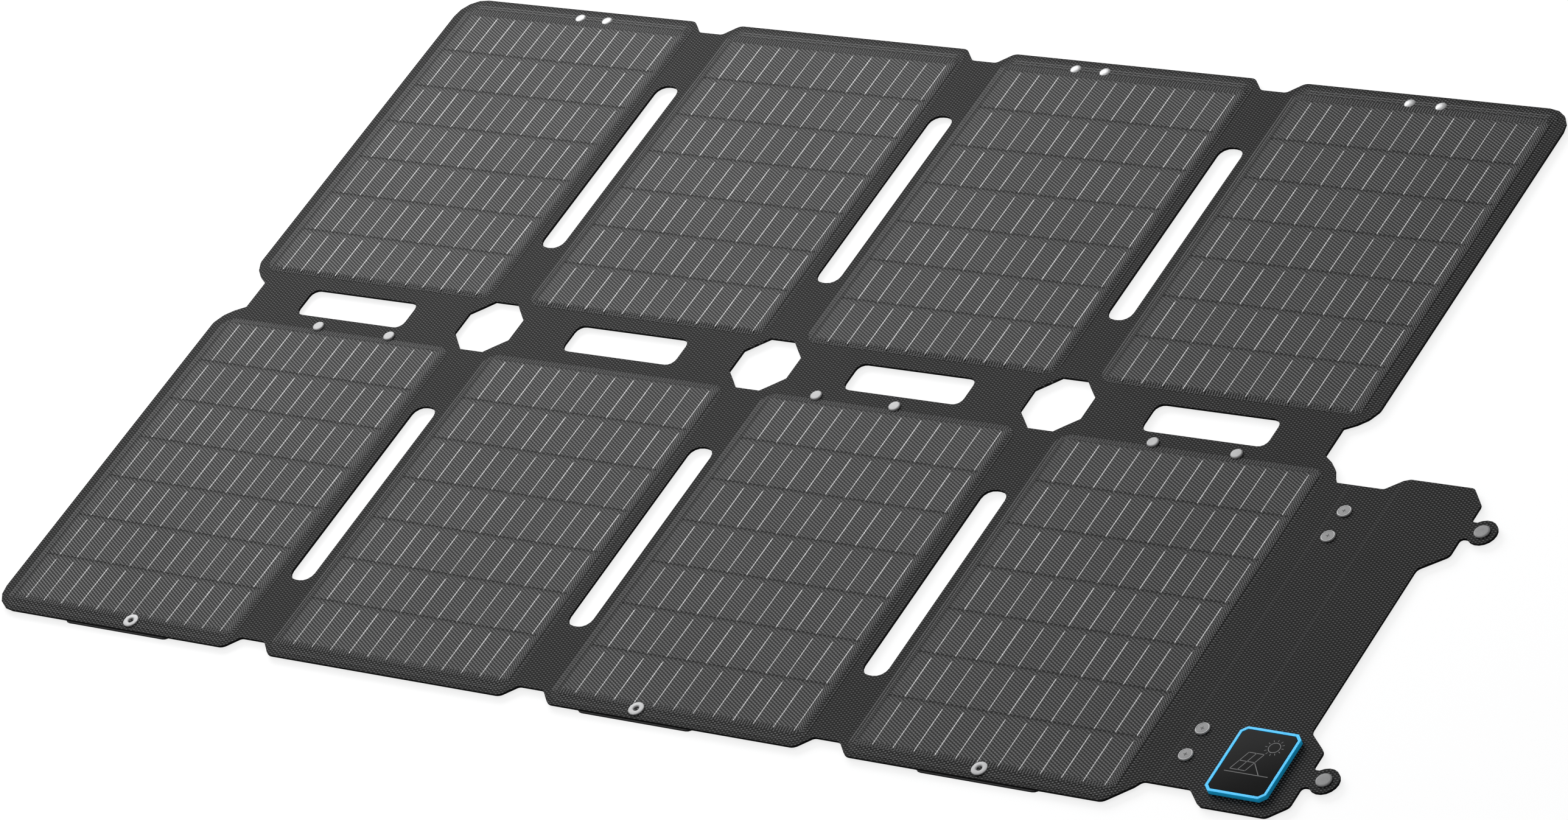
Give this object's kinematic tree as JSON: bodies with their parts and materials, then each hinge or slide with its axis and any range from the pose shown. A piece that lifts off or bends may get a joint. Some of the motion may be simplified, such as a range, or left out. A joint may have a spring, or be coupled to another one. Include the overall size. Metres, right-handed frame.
{
  "type": "folding solar panel",
  "caption": "Folding camping solar panel: two rows of cell panels in one laminated mat, with kickstands, handle slots and a closing flap with an output box.",
  "frame": {"origin": "middle of the whole object at the height of its lowest point, opened flat and lying on its kickstand boards", "axes": "+X along the rows towards the closing flap, +Y from the bottom row to the top row, +Z out of the sunny face"},
  "size_m": [1.1656, 0.685, 0.0084],
  "materials": {
    "mat_fabric": "dark grey coated weave",
    "cell_laminate": "grey textured film with fine diagonal twill and silver busbars",
    "stand_board": "black cloth over stiff board",
    "webbing": "black webbing",
    "fastener_steel": "satin steel",
    "case_plastic": "black moulded plastic",
    "frame_plastic": "satin blue",
    "face_plastic": "gloss black",
    "circuit_board": "green solder mask"
  },
  "bodies": {
    "bottom_1": {"mat_bottom_1": "mat_fabric", "cells_bottom_1": "cell_laminate", "handle_band_1": "mat_fabric", "leg_caps_1": "fastener_steel", "grommet_1": "fastener_steel", "stay_tab_1": "webbing", "closing_stud_upper": "fastener_steel", "closing_stud_lower": "fastener_steel"},
    "top_1": {"mat_top_1": "mat_fabric", "cells_top_1": "cell_laminate", "top_caps_1": "fastener_steel", "loop_tab_1": "webbing"},
    "bottom_2": {"mat_bottom_2": "mat_fabric", "cells_bottom_2": "cell_laminate", "handle_band_2": "mat_fabric"},
    "top_2": {"mat_top_2": "mat_fabric", "cells_top_2": "cell_laminate"},
    "bottom_3": {"mat_bottom_3": "mat_fabric", "cells_bottom_3": "cell_laminate", "handle_band_3": "mat_fabric", "leg_caps_3": "fastener_steel", "grommet_3": "fastener_steel", "stay_tab_3": "webbing"},
    "top_3": {"mat_top_3": "mat_fabric", "cells_top_3": "cell_laminate", "top_caps_3": "fastener_steel", "loop_tab_3": "webbing"},
    "bottom_4": {"mat_bottom_4": "mat_fabric", "cells_bottom_4": "cell_laminate", "handle_band_4": "mat_fabric", "leg_caps_4": "fastener_steel", "grommet_4": "fastener_steel", "stay_tab_4": "webbing"},
    "top_4": {"mat_top_4": "mat_fabric", "cells_top_4": "cell_laminate", "top_caps_4": "fastener_steel", "loop_tab_4": "webbing"},
    "leg_1": {"kickstand_1": "stand_board"},
    "stay_1": {"stay_sheet_1": "webbing"},
    "leg_3": {"kickstand_3": "stand_board"},
    "stay_3": {"stay_sheet_3": "webbing"},
    "leg_4": {"kickstand_4": "stand_board"},
    "stay_4": {"stay_sheet_4": "webbing"},
    "flap_spine": {"flap_spine": "mat_fabric", "carry_handle": "webbing", "rivets_upper": "fastener_steel", "rivets_lower": "fastener_steel"},
    "flap_cover": {"flap_cover": "mat_fabric", "tab_snap_upper": "fastener_steel", "tab_snap_lower": "fastener_steel", "output_case": "case_plastic", "output_board": "circuit_board", "box_frame": "frame_plastic", "face_plate": "face_plastic", "usb_socket_left": "fastener_steel", "usb_socket_right": "fastener_steel"}
  },
  "joints": [
    {"name": "column_fold_3", "type": "hinge", "parent": "bottom_4", "child": "bottom_3", "pos_m": [0.18825, -0.17125, 0.0103], "axis": [0, 1, 0], "range_deg": [0, 180]},
    {"name": "column_fold_2", "type": "hinge", "parent": "bottom_3", "child": "bottom_2", "pos_m": [-0.07175, -0.17125, 0.0011], "axis": [0, -1, 0], "range_deg": [0, 180]},
    {"name": "column_fold_1", "type": "hinge", "parent": "bottom_2", "child": "bottom_1", "pos_m": [-0.33175, -0.17125, 0.0103], "axis": [0, 1, 0], "range_deg": [0, 180]},
    {"name": "row_fold_4", "type": "hinge", "parent": "bottom_4", "child": "top_4", "pos_m": [0.31825, 0, 0.0057], "axis": [1, 0, 0], "range_deg": [0, 180]},
    {"name": "row_fold_3", "type": "hinge", "parent": "bottom_3", "child": "top_3", "pos_m": [0.05825, 0, 0.0057], "axis": [1, 0, 0], "range_deg": [0, 180]},
    {"name": "row_fold_2", "type": "hinge", "parent": "bottom_2", "child": "top_2", "pos_m": [-0.20175, 0, 0.0057], "axis": [1, 0, 0], "range_deg": [0, 180]},
    {"name": "row_fold_1", "type": "hinge", "parent": "bottom_1", "child": "top_1", "pos_m": [-0.46175, 0, 0.0057], "axis": [1, 0, 0], "range_deg": [0, 180]},
    {"name": "leg_swing_1", "type": "hinge", "parent": "bottom_1", "child": "leg_1", "pos_m": [-0.45975, -0.024, 0.0019], "axis": [-1, 0, 0], "range_deg": [-75, 0]},
    {"name": "stay_swing_1", "type": "hinge", "parent": "bottom_1", "child": "stay_1", "pos_m": [-0.45975, -0.3272, 0.0019], "axis": [1, 0, 0], "range_deg": [-15.4, 0]},
    {"name": "leg_swing_3", "type": "hinge", "parent": "bottom_3", "child": "leg_3", "pos_m": [0.02525, -0.024, 0.0019], "axis": [-1, 0, 0], "range_deg": [-75, 0]},
    {"name": "stay_swing_3", "type": "hinge", "parent": "bottom_3", "child": "stay_3", "pos_m": [0.02525, -0.3272, 0.0019], "axis": [1, 0, 0], "range_deg": [-15.4, 0]},
    {"name": "leg_swing_4", "type": "hinge", "parent": "bottom_4", "child": "leg_4", "pos_m": [0.31825, -0.024, 0.0019], "axis": [-1, 0, 0], "range_deg": [-75, 0]},
    {"name": "stay_swing_4", "type": "hinge", "parent": "bottom_4", "child": "stay_4", "pos_m": [0.31825, -0.3272, 0.0019], "axis": [1, 0, 0], "range_deg": [-15.4, 0]},
    {"name": "flap_spine_fold", "type": "hinge", "parent": "bottom_4", "child": "flap_spine", "pos_m": [0.45225, -0.1783, 0.00355], "axis": [0, -1, 0], "range_deg": [0, 90]},
    {"name": "flap_cover_fold", "type": "hinge", "parent": "flap_spine", "child": "flap_cover", "pos_m": [0.49075, -0.1783, 0.00355], "axis": [0, -1, 0], "range_deg": [0, 90]}
  ],
  "couplings": [
    {"joint": "column_fold_2", "follows": "column_fold_3", "ratio": 1},
    {"joint": "column_fold_1", "follows": "column_fold_3", "ratio": 1},
    {"joint": "row_fold_3", "follows": "row_fold_4", "ratio": 1},
    {"joint": "row_fold_2", "follows": "row_fold_4", "ratio": 1},
    {"joint": "row_fold_1", "follows": "row_fold_4", "ratio": 1},
    {"joint": "stay_swing_1", "follows": "leg_swing_1", "ratio": 0.204},
    {"joint": "stay_swing_3", "follows": "leg_swing_3", "ratio": 0.204},
    {"joint": "stay_swing_4", "follows": "leg_swing_4", "ratio": 0.204}
  ]
}
